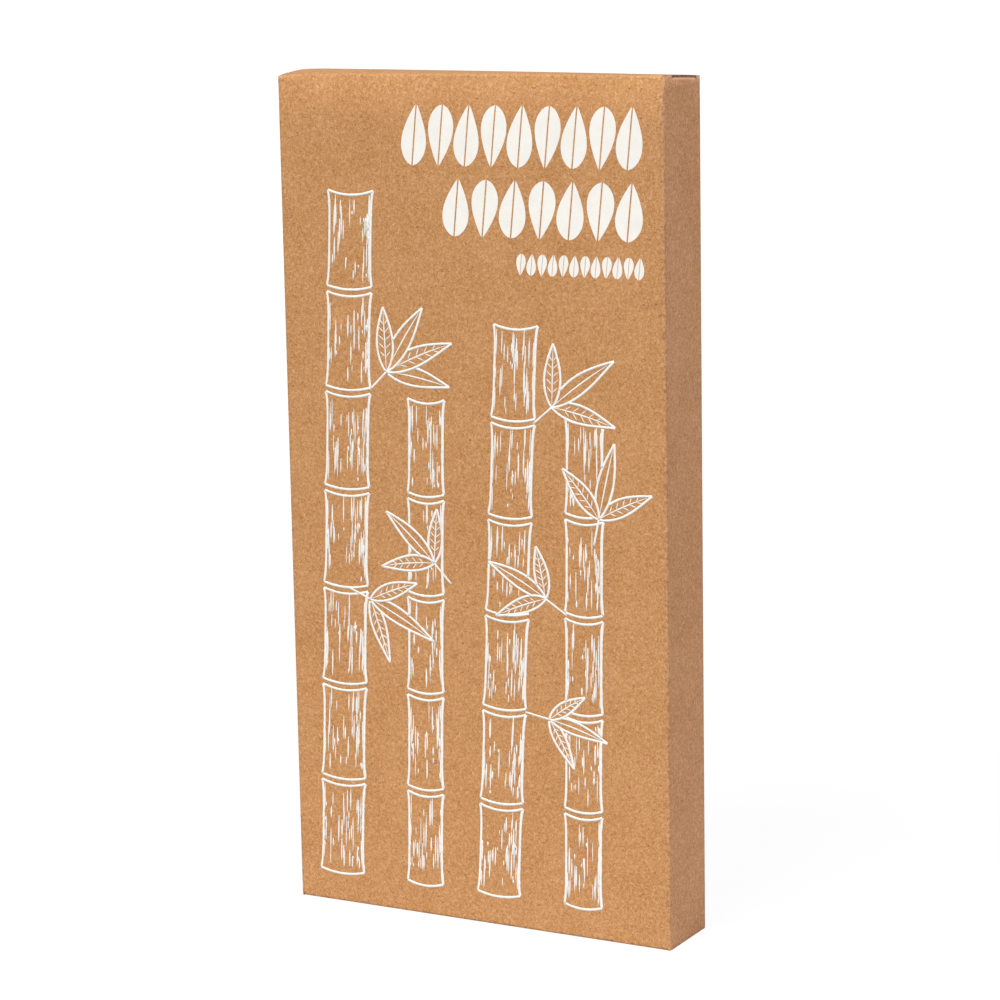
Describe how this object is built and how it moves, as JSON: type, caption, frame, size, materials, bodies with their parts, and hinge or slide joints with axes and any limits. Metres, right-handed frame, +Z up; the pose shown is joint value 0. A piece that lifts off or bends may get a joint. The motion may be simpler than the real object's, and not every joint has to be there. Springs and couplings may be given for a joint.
{
  "type": "boxed charging station organizer",
  "caption": "Upright kraft tuck-end carton holding a bamboo desk tray with a wireless charging pad; the lid and flaps swing open as the tray slides out.",
  "frame": {"origin": "middle of the carton's footprint, on the surface it stands on", "axes": "+Z up along the carton's height, -Y out of the printed front panel, +X to the right as seen from the front"},
  "size_m": [0.125, 0.0244, 0.25],
  "materials": {
    "kraft_card": "uncoated kraft card",
    "bamboo": "laminated bamboo, satin oil",
    "cover_plastic": "fine texture",
    "screw_steel": "zinc plated",
    "board_laminate": "solder mask",
    "chip_plastic": "moulded",
    "ferrite": "sintered",
    "can_aluminium": "drawn",
    "copper_wire": "enamelled",
    "foot_rubber": "matt"
  },
  "bodies": {
    "carton": {"front_panel": "kraft_card", "back_panel": "kraft_card", "right_panel": "kraft_card", "left_panel": "kraft_card", "glue_flap": "kraft_card", "bottom_outer_flap": "kraft_card", "bottom_inner_flap": "kraft_card", "bottom_dust_flap_right": "kraft_card", "bottom_dust_flap_left": "kraft_card"},
    "organizer": {"bamboo_tray": "bamboo", "charger_cover": "cover_plastic", "cover_screws": "screw_steel", "circuit_board": "board_laminate", "board_screws": "screw_steel", "control_chips": "chip_plastic", "power_inductor": "ferrite", "filter_capacitors": "can_aluminium", "charging_coil": "copper_wire", "ferrite_sheet": "ferrite", "coil_leads": "copper_wire", "socket_shell": "screw_steel", "socket_tongue": "chip_plastic", "rubber_feet": "foot_rubber"},
    "lid": {"top_lid": "kraft_card"},
    "tuck": {"top_tuck": "kraft_card"},
    "dust_flap_right": {"top_dust_flap_right": "kraft_card"},
    "dust_flap_left": {"top_dust_flap_left": "kraft_card"}
  },
  "joints": [
    {"name": "organizer_slide", "type": "slide", "parent": "carton", "child": "organizer", "axis": [0, 0, 1], "range_m": [0, 0.1]},
    {"name": "lid_fold", "type": "hinge", "parent": "carton", "child": "lid", "pos_m": [0, -0.0122, 0.25], "axis": [1, 0, 0], "range_deg": [0, 242.1]},
    {"name": "tuck_fold", "type": "hinge", "parent": "lid", "child": "tuck", "pos_m": [0, 0.0102, 0.2495], "axis": [1, 0, 0], "range_deg": [0, 21.6]},
    {"name": "dust_flap_right_fold", "type": "hinge", "parent": "carton", "child": "dust_flap_right", "pos_m": [0.0625, 0, 0.2489], "axis": [0, 1, 0], "range_deg": [0, 166.1]},
    {"name": "dust_flap_left_fold", "type": "hinge", "parent": "carton", "child": "dust_flap_left", "pos_m": [-0.0625, 0, 0.2489], "axis": [0, -1, 0], "range_deg": [0, 166.1]}
  ],
  "couplings": [
    {"joint": "lid_fold", "follows": "organizer_slide", "rad_per_m": 42.237},
    {"joint": "tuck_fold", "follows": "organizer_slide", "rad_per_m": 3.7525},
    {"joint": "dust_flap_right_fold", "follows": "organizer_slide", "rad_per_m": 28.973},
    {"joint": "dust_flap_left_fold", "follows": "organizer_slide", "rad_per_m": 28.973}
  ]
}
